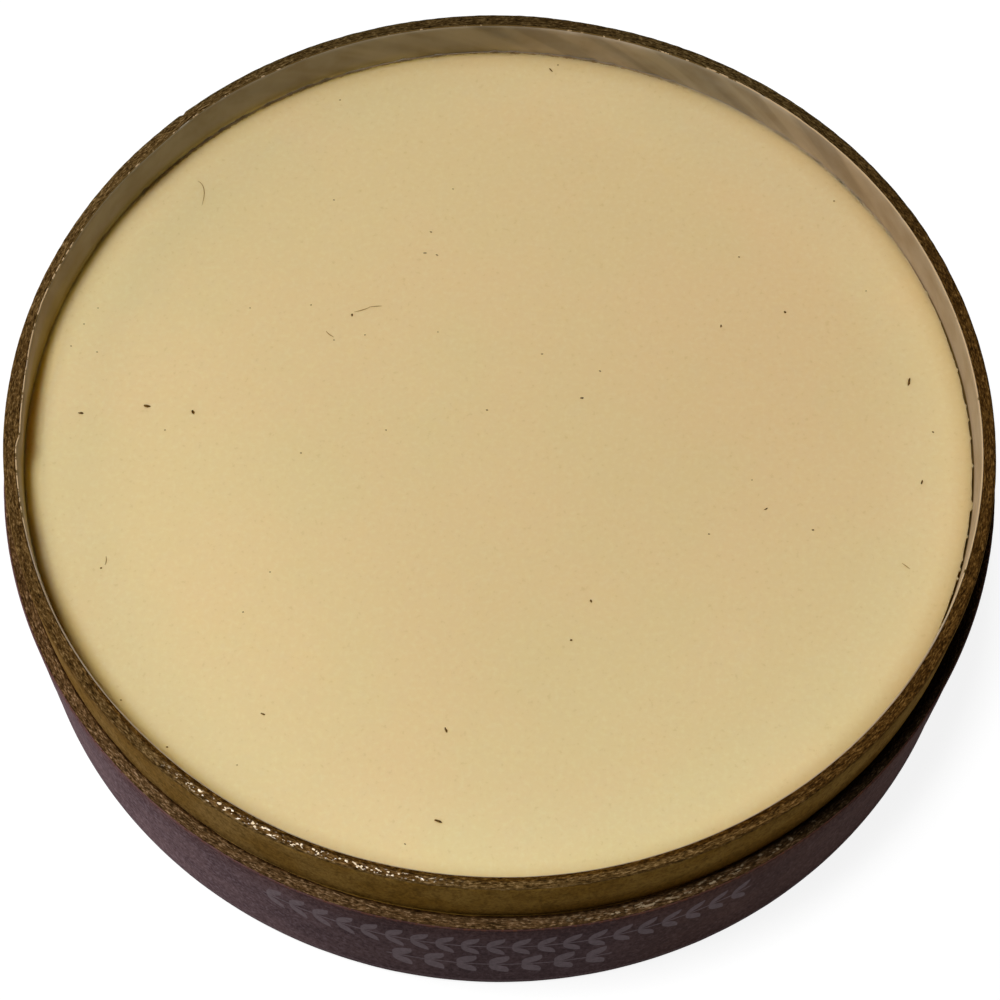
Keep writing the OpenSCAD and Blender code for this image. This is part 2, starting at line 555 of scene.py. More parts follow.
def film_outline(azimuth):
    edge = film_edge(azimuth)
    bore = bore_at(azimuth, wax_z)
    outer = bore_at(azimuth, edge)
    outline = [(bore - film_t, film_z), (bore, film_z)]
    for z in (wax_z, rim_z - 3, rim_z - 2, rim_z - 1):
        outline.append((bore_at(azimuth, z), z))
    outline += [(outer, edge - 0.3), (outer - 0.01, edge - 0.03), (outer - 0.03, edge)]
    outline += [(outer - film_t + 0.03, edge), (outer - film_t + 0.01, edge - 0.03)]
    for share in np.linspace(0.06, 1, 14):
        z = edge * (1 - share) + (wax_z - 0.5) * share
        wave = 0.035 * (around(52, azimuth, 110, z * 0.4) - 1) * ease((z - wax_z) / 1.5)
        slack = FILM_SLACK * shrunk(azimuth) * ease((wax_z + 2.5 - z) / 2.5)
        outline.append((bore_at(azimuth, z) - film_t - slack + wave, z))
    return outline


azimuth = directions(FILM_COLUMNS)
neck_film = ring_piece("neck_film", azimuth, film_outline(azimuth), PRESSED)
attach(neck_film, "root")
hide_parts("neck_liner")

# %% [markdown]
# The wax was poured warm and has shrunk a little. At the right its surface has let go of the film and
# leaves a narrow gap over a ledge, with small nicks; everywhere else it clings and climbs a little.
# The rest is almost flat, so the outline needs many rings close to the edge and few in the middle.

# %% Wax filling
WAX_COLUMNS = 1800
CLING_R = film_r - 0.015
SHRINKAGE = 0.24
SWELL = 0.03
WAX_RINGS = (0.003, 0.02, 0.05, 0.09, 0.14, 0.2, 0.28, 0.4, 0.7, 1.2, 2, 3, 4.5, 6.5, 9, 12, 16, 21, 27, 33)


def wax_reach(azimuth):
    """How far the surface reaches: up to the film, but for the shrunk stretch, which is nicked."""
    ragged = 0.03 * around(61, azimuth, 150) + 0.025 * around(62, azimuth, 520)
    teeth = 0.5 * np.clip(around(65, azimuth, 560) - 0.6, 0, 1)
    return CLING_R - (SHRINKAGE + ragged - teeth) * shrunk(azimuth)


def wax_surface(azimuth, radius):
    """Height of the poured surface: slow swells, a fall at the front left, a climb at the film."""
    turn = np.radians(azimuth)
    x, y = radius * np.cos(turn), radius * np.sin(turn)
    swell = SWELL * uneven(63, (x + 45) / 11, (y + 45) / 11) - SWELL
    ahead = (-0.4 * x - 0.92 * y - 20) / 17
    fall = 0.15 * np.clip(ahead, 0, 1) ** 2
    climb = np.clip((radius - CLING_R + 0.12) / 0.12, 0, 1) ** 2 * (1 - shrunk(azimuth))
    torn_skin = 0.03 + 0.2 * np.clip(around(66, azimuth, 300), 0, 1)
    torn_skin = torn_skin + 0.12 * np.clip(around(68, azimuth, 800) - 0.2, 0, 1)
    return wax_z + swell - fall + climb * torn_skin


def wax_outline(azimuth):
    edge_r = wax_reach(azimuth)
    rounding = 0.01 + 0.04 * shrunk(azimuth) * (1 + 0.3 * around(64, azimuth, 240))
    ledge_z = wax_surface(azimuth, edge_r) - 0.7 - 0.15 * around(67, azimuth, 60)
    outline = [(CLING_R * share, film_z) for share in (0.25, 0.6, 1)]
    outline += [(CLING_R, (film_z + wax_z) / 2), (CLING_R, ledge_z - 0.15), (edge_r, ledge_z)]
    for inset in WAX_RINGS:
        radius = edge_r - inset
        drop = rounding * (1 - np.sqrt(1 - np.clip(1 - inset / rounding, 0, 1) ** 2))
        outline.append((radius, wax_surface(azimuth, radius) - drop))
    return outline


azimuth = directions(WAX_COLUMNS)
wax_fill = disc_piece("wax_fill", azimuth, wax_outline(azimuth), film_z, wax_z - SWELL, PRESSED)
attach(wax_fill, "root")
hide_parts("deodorant_fill")

# %% [markdown]
# The base is a board disc pressed into the foot. Only its underside can be seen, slightly dished,
# with an edge turned down by the press. The film on top of it stays inside the closed pack, so that
# solid is kept as it is and only gets the film's finish.

# %% Base board
def base_outline(azimuth):
    low = base_z + 0.02 * around(71, azimuth, 60)
    outline = [(radius, low + 0.05) for radius in (4, 12, 20, 28, 34, 37)]
    outline += [(bore_r - 0.9, low + 0.04), (bore_r - 0.35, low)]
    outline += [(bore_r - 0.1, low + 0.06), (bore_r, low + 0.2)]
    outline += [(bore_r, film_z - film_t), (bore_r / 2, film_z - film_t)]
    return outline


azimuth = directions(720)
base_board = disc_piece("base_board", azimuth, base_outline(azimuth), base_z + 0.05, film_z - film_t)
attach(base_board, "root")
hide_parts("base_disc")

# %% [markdown]
# The camera stands where the photographer stood: in front of the pack and above it, looking down at
# about 63 degrees, and turned by less than two degrees. Its place and lens were solved from the
# pack's ellipses, and the two small shifts set the frame.

# %% Camera
CAMERA_AT = (0, -85.42, 178.11)
LOOK_DOWN = 1.10908
LEAN = 0.02946
FOCAL_PIXELS = 2273
PICTURE = 1000
MIDDLE = (499.2, 494.0)

lens = bpy.data.cameras.new("camera")
lens.sensor_width = 36
lens.lens = FOCAL_PIXELS * lens.sensor_width / PICTURE
lens.shift_x = 0.5 - MIDDLE[0] / PICTURE
lens.shift_y = MIDDLE[1] / PICTURE - 0.5
lens.clip_start = 0.01
lens.clip_end = 20
camera = bpy.data.objects.new("camera", lens)
bpy.context.scene.collection.objects.link(camera)
pose = Matrix.Rotation(math.pi / 2 - LOOK_DOWN, 4, "X") @ Matrix.Rotation(LEAN, 4, "Z")
camera.matrix_world = Matrix.Translation(Vector(CAMERA_AT) * MM) @ pose
bpy.context.scene.camera = camera
print(f"lens {lens.lens:.1f} mm, shift {lens.shift_x:.5f} {lens.shift_y:.5f}")


def seen_at(column, row, height):
    """The place in millimetres that the camera sees at a pixel, on a level plane."""
    across = (column - MIDDLE[0]) / FOCAL_PIXELS
    down = (row - MIDDLE[1]) / FOCAL_PIXELS
    ray = pose.to_3x3() @ Vector((across, -down, -1))
    start = Vector(CAMERA_AT)
    return start + ray * ((height - start.z) / ray.z)


print("middle of the wax in the picture:", [round(part, 2) for part in seen_at(499, 460, wax_z)])

# %% [markdown]
# Dried herb and bark leave small dark bits in the wax. Each one is an irregular lump, half sunk, in
# the place, length, width and lean that the surface shows. A bump in the wax's material could only
# stain it, while a lump stands up a little and throws its own tiny shadow.

# %% Herb specks
SPECKS = (
    (147, 406, 6.5, 3.3, 10), (81, 413, 5.5, 2.2, 0), (193, 412, 5, 3.3, 60), (909, 382, 11, 2.6, 103),
    (446, 730, 6, 2.2, 62), (438, 821, 8, 2.4, 20), (263, 714, 5, 1.8, 20), (582, 398, 3.5, 2.2, 0),
    (551, 70, 6.5, 1.7, 55), (591, 601, 3.6, 2, 60), (571, 640, 2.4, 1.9, 0), (813, 530, 2.4, 1.8, 0),
    (785, 312, 3.2, 2.4, 30), (721, 326, 3.4, 1.7, 100), (922, 482, 5.5, 1.8, 110),
    (933, 432, 2.6, 1.4, 30),
    (542, 354, 2.6, 1.1, 0), (766, 509, 4.4, 1.3, 150), (352, 315, 3.4, 2.2, 90), (487, 410, 2.4, 1.4, 0),
    (431, 232, 2.7, 1.4, 20), (425, 253, 4, 1.3, 0), (437, 255, 3, 1.2, 20), (98, 308, 1.5, 1.1, 0),
    (84, 324, 1.6, 1.1, 0), (71, 346, 1.6, 1.2, 0), (97, 352, 1.6, 1, 0), (334, 200, 2, 1.3, 0),
    (250, 308, 1.8, 1, 0), (165, 430, 1.8, 1, 0), (386, 430, 1.8, 1.2, 0), (301, 453, 2, 1.1, 0),
    (340, 100, 1.8, 1.2, 0), (453, 189, 1.6, 1, 0), (438, 332, 1.6, 1, 0), (558, 65, 2, 1.2, 0),
    (834, 201, 2.2, 1.2, 0), (739, 257, 2.4, 1.3, 0), (600, 371, 2.4, 1.2, 30), (752, 480, 1.4, 1, 0),
    (866, 291, 1.6, 1, 0), (270, 572, 1.8, 1, 0), (243, 612, 1.8, 1, 0), (237, 765, 1.6, 1, 0),
    (405, 844, 1.9, 1, 20), (121, 700, 2, 1, 0), (167, 747, 2.4, 1.3, 0), (709, 534, 2.2, 1.3, 0),
    (311, 305, 1.8, 1.3, 0), (334, 340, 1.8, 1.2, 0), (365, 335, 1.6, 1.2, 0), (101, 568, 2.4, 1.8, 0),
)
LUMP_TURNS = 10
LUMP_RISES = 6
LUMP_THICK = 0.09
LUMP_SUNK = 0.01
PIXELS_PER_MM = 12.3


def lump(places, faces, centre, length, width, thick, lean, seed):
    """Adds a closed irregular lump to the lists."""
    draw = np.random.default_rng(seed)
    start = len(places)
    for rise in range(1, LUMP_RISES):
        tilt = math.pi * rise / LUMP_RISES
        for turn in range(LUMP_TURNS):
            bearing = 2 * math.pi * turn / LUMP_TURNS
            swell = draw.uniform(0.72, 1.15)
            along = length / 2 * math.sin(tilt) * math.cos(bearing) * swell
            aside = width / 2 * math.sin(tilt) * math.sin(bearing) * swell
            x = along * math.cos(lean) - aside * math.sin(lean)
            y = along * math.sin(lean) + aside * math.cos(lean)
            places.append(centre + Vector((x, y, -thick / 2 * math.cos(tilt))))
    places.append(centre - Vector((0, 0, thick / 2)))
    places.append(centre + Vector((0, 0, thick / 2)))
    low, high = len(places) - 2, len(places) - 1
    for turn in range(LUMP_TURNS):
        after = (turn + 1) % LUMP_TURNS
        for row in range(LUMP_RISES - 2):
            a = start + row * LUMP_TURNS
            b = a + LUMP_TURNS
            faces.append([a + turn, a + after, b + after, b + turn])
        last = start + (LUMP_RISES - 2) * LUMP_TURNS
        faces.append([start + after, start + turn, low])
        faces.append([last + turn, last + after, high])


places, faces = [], []
for number, (column, row, long, wide, lean) in enumerate(SPECKS):
    spot = seen_at(column, row, wax_z - LUMP_SUNK)
    size = (long / PIXELS_PER_MM, wide / PIXELS_PER_MM, LUMP_THICK)
    lump(places, faces, spot, *size, math.radians(-lean), 100 + number)
herb_specks = mesh_piece("herb_specks", places, faces)
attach(herb_specks, "root")

# %% [markdown]
# A few fine fibres lie in the surface as well. Each is a thin closed tube along a short bent path,
# half sunk, which needs a handful of points and stays true at any distance.

# %% Fibres in the wax
FIBRES = (
    ((198, 181), (208, 186), (202, 205)),
    ((326, 331), (329, 335), (334, 337)),
    ((354, 312), (364, 310), (370, 307)),
    ((369, 307), (376, 306), (382, 306)),
    ((105, 565), (107, 561), (106, 556)),
    ((902, 563), (906, 566), (910, 569)),
)
FIBRE_R = 0.035
FIBRE_SIDES = 6


def fibre(places, faces, path):
    """Adds a closed tube that tapers at both ends."""
    steps = np.linspace(0, 1, 9)
    start = len(places)
    ends = (path[0], path[-1])
    for step in steps:
        spot = path[0] * (1 - step) ** 2 + path[1] * 2 * step * (1 - step) + path[2] * step ** 2
        heading = (path[1] - path[0]) * (1 - step) + (path[2] - path[1]) * step
        aside = Vector((-heading.y, heading.x, 0)).normalized()
        thick = FIBRE_R * (0.35 + 0.65 * math.sin(math.pi * step))
        for side in range(FIBRE_SIDES):
            turn = 2 * math.pi * side / FIBRE_SIDES
            places.append(spot + aside * thick * math.cos(turn) + Vector((0, 0, thick * math.sin(turn))))
    for row in range(len(steps) - 1):
        for side in range(FIBRE_SIDES):
            after = (side + 1) % FIBRE_SIDES
            a = start + row * FIBRE_SIDES
            b = a + FIBRE_SIDES
            faces.append([a + side, b + side, b + after, a + after])
    last = start + (len(steps) - 1) * FIBRE_SIDES
    places += [ends[0].copy(), ends[1].copy()]
    for side in range(FIBRE_SIDES):
        after = (side + 1) % FIBRE_SIDES
        faces.append([start + side, start + after, len(places) - 2])
        faces.append([last + after, last + side, len(places) - 1])


places, faces = [], []
for path in FIBRES:
    fibre(places, faces, [seen_at(column, row, wax_z) for column, row in path])
wax_fibres = mesh_piece("wax_fibres", places, faces)
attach(wax_fibres, "root")

# %% [markdown]
# Board is grey-brown pulp with darker and lighter fibres. One finish serves both tubes: it is plain
# and faintly mottled on the smooth wall, and speckled, layered and pitted where the board was cut. A
# mask of height tells the two apart, which holds from every side. Smears of wax left on the cut
# fibres glint where they face the light: those are a clear coat in small spots, and pale cream spots
# painted into the colour there are painted glints. Light and shade are painted in too: the wall is
# bluer on the lit left front, and the cut face is darker at the right and the back.

# %% Finishes of the two boards
def board_finish(name, middle, cut_z, tones):
    finish = Finish(name)
    slow = finish.wound(middle, (0.25, 0.25, 0.25), 2.0, 0.5)
    mottle = finish.wound(middle, (1.5, 1.5, 1.1), 5.0, 0.7)
    speckle = finish.wound(middle, (4.0, 4.0, 2.5), 2.0, 0.6)
    wall = finish.mix(finish.ramp(slow, 0.35, 0.65), shade(*tones["wall"]), shade(*tones["wall_light"]))
    wall = finish.tint(finish.ramp(mottle, 0.53, 0.36) * 0.8, wall, (0.6, 0.58, 0.5))
    wall = finish.tint(finish.ramp(speckle, 0.52, 0.36) * 0.6, wall, (0.66, 0.62, 0.55))
    wall = finish.tint(finish.ramp(speckle, 0.52, 0.66) * 0.6, wall, (1.3, 1.25, 1.2))
    # painted light: the wall is made bluer on the left front, where the light falls, as a painted sheen
    wall = finish.tint(finish.towards(215, 0.7, 0.97), wall, (1, 1.04, 1.5))
    layers = finish.wound(middle, (0.7, 8.0, 2.0), 3.0, 0.6)
    clumps = finish.wound(middle, (1.3, 2.6, 1.6), 2.0, 0.5)
    grains = finish.wound(middle, (2.6, 9.0, 5.0), 3.0, 0.6)
    cut = finish.mix(finish.ramp(layers, 0.35, 0.65), shade(*tones["cut_dark"]), shade(*tones["cut"]))
    cut = finish.mix(finish.ramp(grains, 0.53, 0.66), cut, shade(*tones["cut_light"]))
    cut = finish.mix(finish.ramp(grains, 0.48, 0.36) * 0.9, cut, shade(*tones["pit"]))
    cut = finish.tint(finish.ramp(clumps, 0.52, 0.4) * 0.8, cut, (0.68, 0.64, 0.56))
    cut = finish.tint(finish.ramp(clumps, 0.52, 0.64) * 0.8, cut, (1.25, 1.25, 1.35))
    cut = finish.tint(finish.towards(192, 0.75, 0.97), cut, (0.86, 0.8, 0.7))
    # painted shade: the cut face is darker and browner at the right and darker and greyer at the back, and
    # so is its rounded outer part at the back, as the light falls
    cut = finish.tint(finish.towards(348, 0.3, 0.9), cut, tones["oily"])
    cut = finish.tint(finish.towards(75, 0.3, 0.95), cut, tones["dusty"])
    cut = finish.tint(finish.towards(90, 0.94, 0.99), cut, (0.87, 0.83, 0.8))
    rounded = finish.at_radius(middle + 0.2, middle + 0.4) * finish.towards(80, 0.2, 0.7)
    cut = finish.tint(rounded, cut, (0.75, 0.82, 0.88))
    at_cut = finish.at_height(cut_z - 0.3, cut_z - 0.12)
    finish.colour = finish.mix(at_cut, wall, cut)
    return finish, finish.relief(grains * at_cut + mottle * 0.15, 0.06)


# In both tone tables the tints for the right and the back of the cut face are painted shade.
NECK_TONES = {
    "wall": (140, 103, 38), "wall_light": (154, 118, 53),
    "cut": (106, 82, 46), "cut_dark": (78, 56, 26), "cut_light": (142, 116, 76),
    "pit": (44, 31, 10), "oily": (0.6, 0.48, 0.29), "dusty": (0.54, 0.57, 0.54),
}
SHOULDER_TONES = {
    "wall": (104, 78, 40), "wall_light": (118, 92, 54),
    "cut": (98, 73, 45), "cut_dark": (68, 49, 27), "cut_light": (138, 112, 82),
    "pit": (40, 28, 10), "oily": (0.9, 0.85, 0.8), "dusty": (0.8, 0.78, 0.76),
}
neck, relief = board_finish("neck board", (neck_r + neck_bore_r) / 2, rim_z, NECK_TONES)
# painted shade: the inner edge of the cut at the front is darkened, where it turns away from the light
inner_lip_shade = neck.at_radius(neck_bore_r + 0.36, neck_bore_r + 0.2) * neck.towards(262, 0.6, 0.8)
neck.stain(inner_lip_shade, (0.6, 0.48, 0.24))
# painted shade: the lower wall at the front right is darkened, where the shoulder keeps the bounced light
# off it
low = neck.at_height(shoulder_z + 3.5, shoulder_z + 1)
neck.stain(low * neck.towards(297, 0.85, 0.98), (0.52, 0.45, 0.3))
upper = neck.at_height(rim_z - 1.8, rim_z - 0.5) * neck.at_height(rim_z - 0.12, rim_z - 0.25)
neck.stain(upper * neck.towards(214, 0.93, 0.99), (0.68, 0.62, 0.55))
flakes = neck.wound(neck_r, (3.4, 4.6, 3.5), 1.0, 0.5)
inside = neck.at_radius(neck_bore_r + 0.25, neck_bore_r + 0.4)
outside = neck.at_radius(neck_r - 0.1, neck_r - 0.25)
# a band at the front left where the cut faces the light: wax smears get a clear coat there, the colour is
# warmed, and pale cream spots are painted in as painted glints
smear_and_glint_band = neck.towards(249, 0.945, 0.985) * inside * outside
smear_and_glint_band = smear_and_glint_band * neck.at_height(rim_z - 0.3, rim_z - 0.12)
smears = smear_and_glint_band * neck.ramp(flakes, 0.54, 0.6)
neck.stain(smear_and_glint_band, (0.98, 0.87, 0.72))
neck.paint(smear_and_glint_band * neck.ramp(flakes, 0.6, 0.64), (252, 228, 190))
neck.wear(
    neck_board, "neck_board", Normal=relief, Roughness=0.95, Specular_IOR_Level=0.03,
    Coat_Weight=smears * 0.6, Coat_Roughness=0.2,
)
shoulder, relief = board_finish("outer board", (board_r + bore_r) / 2, shoulder_z, SHOULDER_TONES)
# painted shade: the shoulder's inner lip is darkened next to the neck, in the narrow gap
seam = shoulder.at_radius(neck_r + 0.36, neck_r + 0.2)
shoulder.stain(seam, (0.3, 0.22, 0.12))
# painted light: the cut top of the shoulder is made paler and bluer on the left, where the light falls
at_left = shoulder.towards(218, 0.94, 0.99)
shoulder.stain(at_left, (1.25, 1.3, 1.4))
in_shade = shoulder.towards(325, 0.9, 0.985)
shoulder.stain(in_shade, (0.4, 0.45, 0.5))
rubbed = shoulder.towards(294, 0.95, 0.99)
crumbs = shoulder.wound(board_r, (1.6, 4.0, 3.0), 3.0, 0.6)
burr = shoulder.at_radius(neck_r + 0.95, neck_r + 0.75) * shoulder.at_radius(neck_r + 0.3, neck_r + 0.45)
burr = burr * rubbed * shoulder.ramp(crumbs, 0.55, 0.63)
shoulder.paint(burr, (172, 152, 122))
shoulder.wear(outer_board, "outer_board", Normal=relief, Roughness=0.95, Specular_IOR_Level=0.03)

# %% [markdown]
# The label's paper is printed solid aubergine and varnished dull. Handling has rubbed it into cloudy
# patches, with a lighter line just above the lower edge and a reddish core where the paper was
# trimmed. Two rows of pale grey leaves are printed on its front. Printing has no thickness, so the
# leaves are a mask in the finish: the way along the wall is cut into equal cells, and in each cell
# a leaning leaf is drawn above the stem and mirrored below it.

# %% Finish of the label
FRONT = 270
LEAF_LEAN = math.radians(58)
UPPER_ROW = {"start": -17.5, "end": 20.9, "stem_z": 10.6, "pitch": 1.92, "tall": 2.2, "wide": 0.95}
LOWER_ROW = {"start": -7.7, "end": 9.8, "stem_z": 5.7, "pitch": 2.5, "tall": 2.3, "wide": 1.3}


def sprig(finish, start, end, stem_z, pitch, tall, wide):
    """1 on a row of leaves along a stem, between two places in millimetres from the front."""
    along = finish.arc(FRONT, label_r)
    aside = (finish.math("FRACT", (along - start) * (1 / pitch)) - 0.5) * pitch
    above = finish.math("ABSOLUTE", finish.height - stem_z)
    up = above - tall / 2
    length = aside * math.cos(LEAF_LEAN) + up * math.sin(LEAF_LEAN)
    across = finish.math("ABSOLUTE", up * math.cos(LEAF_LEAN) - aside * math.sin(LEAF_LEAN))
    half = tall / 2 / math.sin(LEAF_LEAN)
    room = wide / 2 * (1 - length * length * (1 / half ** 2)) - across
    leaf = finish.ramp(room, -0.04, 0.06)
    stem = finish.ramp(above, 0.16, 0.08)
    row = finish.ramp(along, start - 0.1, start + 0.1) * finish.ramp(along, end + 0.1, end - 0.1)
    return finish.math("MAXIMUM", leaf, stem) * row


label = Finish("label paper")
patches = label.wound(label_r, (0.22, 0.22, 0.3), 3.0, 0.55)
scuffs = label.wound(label_r, (3.0, 3.0, 1.8), 4.0, 0.7)
label.colour = label.mix(label.ramp(patches, 0.35, 0.65), shade(80, 61, 62), shade(92, 71, 71))
label.paint(label.ramp(scuffs, 0.5, 0.66) * 0.5, (118, 98, 102))
label.stain(label.ramp(scuffs, 0.5, 0.36) * 0.8, (0.55, 0.53, 0.58))
# painted light and sheen: the left of the label is made about twice as light, where the light falls
label.stain(label.towards(215, 0.68, 0.97), (2.0, 2.1, 2.2))
# painted shade: the front right of the label is made warmer and darker, on its shaded side
shade_front_right = label.towards(308, 0.88, 0.98)
label.stain(shade_front_right, (1.0, 0.9, 0.76))
dry_top = label.at_height(shoulder_z - 3.5, shoulder_z - 0.5)
label.stain(dry_top * 0.7, (0.8, 0.65, 0.6))
leaves = label.math("MAXIMUM", sprig(label, **UPPER_ROW), sprig(label, **LOWER_ROW))
label.paint(leaves * (0.35 + 0.6 * scuffs), (150, 134, 138))
worn_low = label.at_height(0.6, 0.8) * label.at_height(1.1, 0.9)
label.paint(worn_low * 0.5, (128, 108, 112))
trimmed = label.at_height(shoulder_z - 0.24, shoulder_z - 0.12)
trimmed = trimmed * (0.15 + label.ramp(scuffs, 0.48, 0.6) * 0.7)
label.paint(trimmed, (92, 56, 38))
label.wear(
    label_paper, "label_paper", Roughness=0.9 - 0.1 * label.ramp(scuffs, 0.4, 0.8),
    Specular_IOR_Level=0.03, Normal=label.relief(scuffs, 0.03),
)

# %% [markdown]
# Greaseproof film is half clear, so it shows the brown board through a milky grey, and it is the one
# glossy surface of the pack. Oil from the wax has darkened it towards the wax, and at the left that
# tint also stands in for the shade there. Long slanting folds show at the back as painted light and
# shade, without relief. Its cut edge is a thin pale line, broken where fibres came off and painted
# paler at the left and right as a painted highlight. Painted shade darkens it in the gap at the
# right, and painted light lifts its foot at the back left.

# %% Finish of the film
film = Finish("greaseproof film")
ripple = film.wound(film_r, (0.25, 0.25, 0.15), 2.0, 0.5)
cloudy = film.wound(film_r, (0.3, 0.3, 0.3), 3.0, 0.6)
film.colour = film.mix(film.ramp(cloudy, 0.3, 0.7), shade(160, 139, 112), shade(172, 153, 129))
run = film.arc(90, film_r)
sweep = film.flat(film.height * 0.3 - run * 0.2, run * 0.03 + film.height * 0.02)
# the folds have no relief: their pale and dark bands at the back are painted light and shade
fold_light_and_shade = film.cloud(sweep, 1.0, 2.0, 0.5)
at_back = film.towards(80, 0.55, 0.95)
film.paint(film.ramp(fold_light_and_shade, 0.5, 0.6) * at_back * 0.75, (186, 165, 138))
film.stain(film.ramp(fold_light_and_shade, 0.5, 0.41) * at_back * 0.75, (0.74, 0.75, 0.77))
film.stain(film.towards(105, 0.4, 0.8), (0.96, 1.08, 1.2))
lifted = film.towards(81, 0.982, 0.998)
film.stain(lifted, (1.3, 1.28, 1.34))
# oil from the wax yellows the film's foot at the left, and this tint also stands in for the shade there
oily = film.at_height(wax_z + 1.3, wax_z) * film.towards(180, -0.3, 0.9)
film.stain(oily, (0.98, 0.94, 0.5))
soaked = film.at_height(wax_z + 2.7, wax_z + 1.3) * film.towards(185, 0.85, 0.97)
film.stain(soaked, (1.05, 1.02, 0.55))
lit_low = film.at_height(wax_z + 1.4, wax_z + 0.2) * film.towards(80, 0.3, 0.8)
film.stain(lit_low, (1.12, 1.14, 1.15))
# painted shade: the film is darkened where it meets the wax in the gap at the right
gap_shade_on_film = film.at_height(wax_z + 0.12, wax_z - 0.12) * film.towards(352, 0.8, 0.92)
film.stain(gap_shade_on_film, (0.6, 0.5, 0.2))
# painted light: the film's foot at the back left is made about twice as light, against the shade near the
# wax
painted_light_at_foot = film.at_height(wax_z + 0.5, wax_z + 0.05) * film.towards(145, 0.7, 0.9)
film.stain(painted_light_at_foot, (1.9, 2.0, 2.0))
# the cut edge is a pale line broken by fibres; at the left and right it is paler, as a painted highlight
fibres = film.wound(film_r, (1.6, 1.0, 1.0), 3.0, 0.6)
sides_highlight = film.math("MAXIMUM", film.towards(8, 0.45, 0.75), film.towards(186, 0.84, 0.95) * 0.6)
pale = film.ramp(fibres + sides_highlight * 0.3, 0.58, 0.66)
edge_tone = film.mix(pale, shade(102, 80, 42), shade(198, 170, 130))
cut_edge = film.at_height(rim_z - 0.12, rim_z - 0.08)
film.colour = film.mix(cut_edge, film.colour, edge_tone)
film.wear(
    neck_film, "liner_film", Roughness=0.38 + 0.12 * ripple + 0.5 * cut_edge,
    Specular_IOR_Level=0.1, Normal=film.relief(ripple, 0.05),
)
film.dress(frame["nodes"]["base_liner"])

# %% [markdown]
# The wax is opaque and creamy with a satin skin. Light enters it a little way, so some subsurface
# scattering softens every small shadow in it. Slow blotches and a very fine grain keep the broad
# surface from looking like plastic. Near the film it is darker, partly where it thins out over the
# board and partly as painted shade of the rim, and light and shade across the surface and in the
# gap at the right are painted in as well. The relief reads a noise of one octave, because scattered
# light looks it up at every step.

# %% Finish of the wax
wax = Finish("cream wax")
blotches = wax.cloud(wax.place, 0.06, 3.0, 0.55)
grain = wax.cloud(wax.place, 2.2, 3.0, 0.6)
pores = wax.cloud(wax.place, 2.2, 0.0)
wax.colour = wax.mix(wax.ramp(blotches, 0.38, 0.62), shade(218, 191, 143), shade(216, 192, 143))
wax.paint(wax.ramp(grain, 0.45, 0.75) * 0.35, (222, 204, 156))
wax.paint(wax.ramp(grain, 0.4, 0.25) * 0.35, (196, 169, 117))
# painted light: the surface is made paler towards the front left, where the light and its sheen fall, and
# darker towards the back right
forward = wax.radius * wax.facing(212)
wax.stain(wax.ramp(forward, -30, 30), (1.06, 1.115, 1.12))
wax.stain(wax.at_radius(29, 34), (1.0, 1.03, 1.05))
wax.stain(wax.ramp(forward, 8, 34), (1.09, 1.08, 1.09))
before = wax.radius * wax.facing(315)
wax.stain(wax.ramp(before, 10, 33), (1.04, 1.07, 1.09))
beyond = wax.radius * wax.facing(55)
wax.stain(wax.ramp(beyond, 29, 37), (0.92, 0.94, 0.96))
# near the film the wax is darker: partly thin wax over the board, partly painted shade of the rim,
# strongest at the front left; at the left the shade's colour is painted in, and lit_edge lifts it as
# painted light
at_left = wax.towards(160, 0.5, 0.88)
wax.stain(wax.at_radius(film_r - 2.2, film_r), (0.87, 0.8, 0.72))
edge = wax.at_radius(film_r - 2.2, film_r + 0.1) * wax.towards(225, -0.6, 0.2) * (1 - at_left)
wax.stain(edge, (0.78, 0.74, 0.66))
brim = wax.at_radius(film_r - 0.8, film_r + 0.2) * (1 - at_left)
wax.stain(brim, (0.86, 0.82, 0.74))
rim_shade_front_left = wax.at_radius(film_r - 1.6, film_r - 0.4)
wax.stain(rim_shade_front_left * wax.towards(222, 0.92, 0.98), (0.8, 0.74, 0.48))
shade_colour_left = wax.at_radius(film_r - 0.5, film_r - 0.1) * wax.towards(165, 0.0, 0.5)
wax.stain(shade_colour_left, (0.98, 0.92, 0.5))
lit_edge = wax.at_radius(film_r - 1.4, film_r - 0.5) * wax.towards(181, 0.96, 0.995)
wax.stain(lit_edge, (1.3, 1.3, 1.2))
# the torn skin where the wax clings at the back, and painted shade in the gap at the right
tatters = wax.wound(film_r, (2.2, 2.2, 0.0), 2.0, 0.6)
tatters = wax.radius + (tatters - 0.5) * 0.5
stained = wax.ramp(tatters, film_r - 0.2, film_r - 0.12) * wax.towards(105, 0.7, 0.88)
wax.paint(stained, (156, 122, 70))
gap_shade_on_wax = wax.at_height(wax_z - 0.2, wax_z - 0.4) * wax.at_radius(film_r - 0.8, film_r - 0.6)
wax.stain(gap_shade_on_wax, (0.42, 0.28, 0.06))
wax.wear(
    wax_fill, "wax", Roughness=0.42, Specular_IOR_Level=0.08,
    Subsurface_Weight=1.0, Subsurface_Scale=0.0022, Subsurface_Radius=(1.0, 0.97, 0.92),
    Normal=wax.relief(pores, 0.01),
)

# %% [markdown]
# The specks are dark bark brown, the fibres a paler straw, and the underside of the base is the same
# board as the tubes, plain and unprinted.

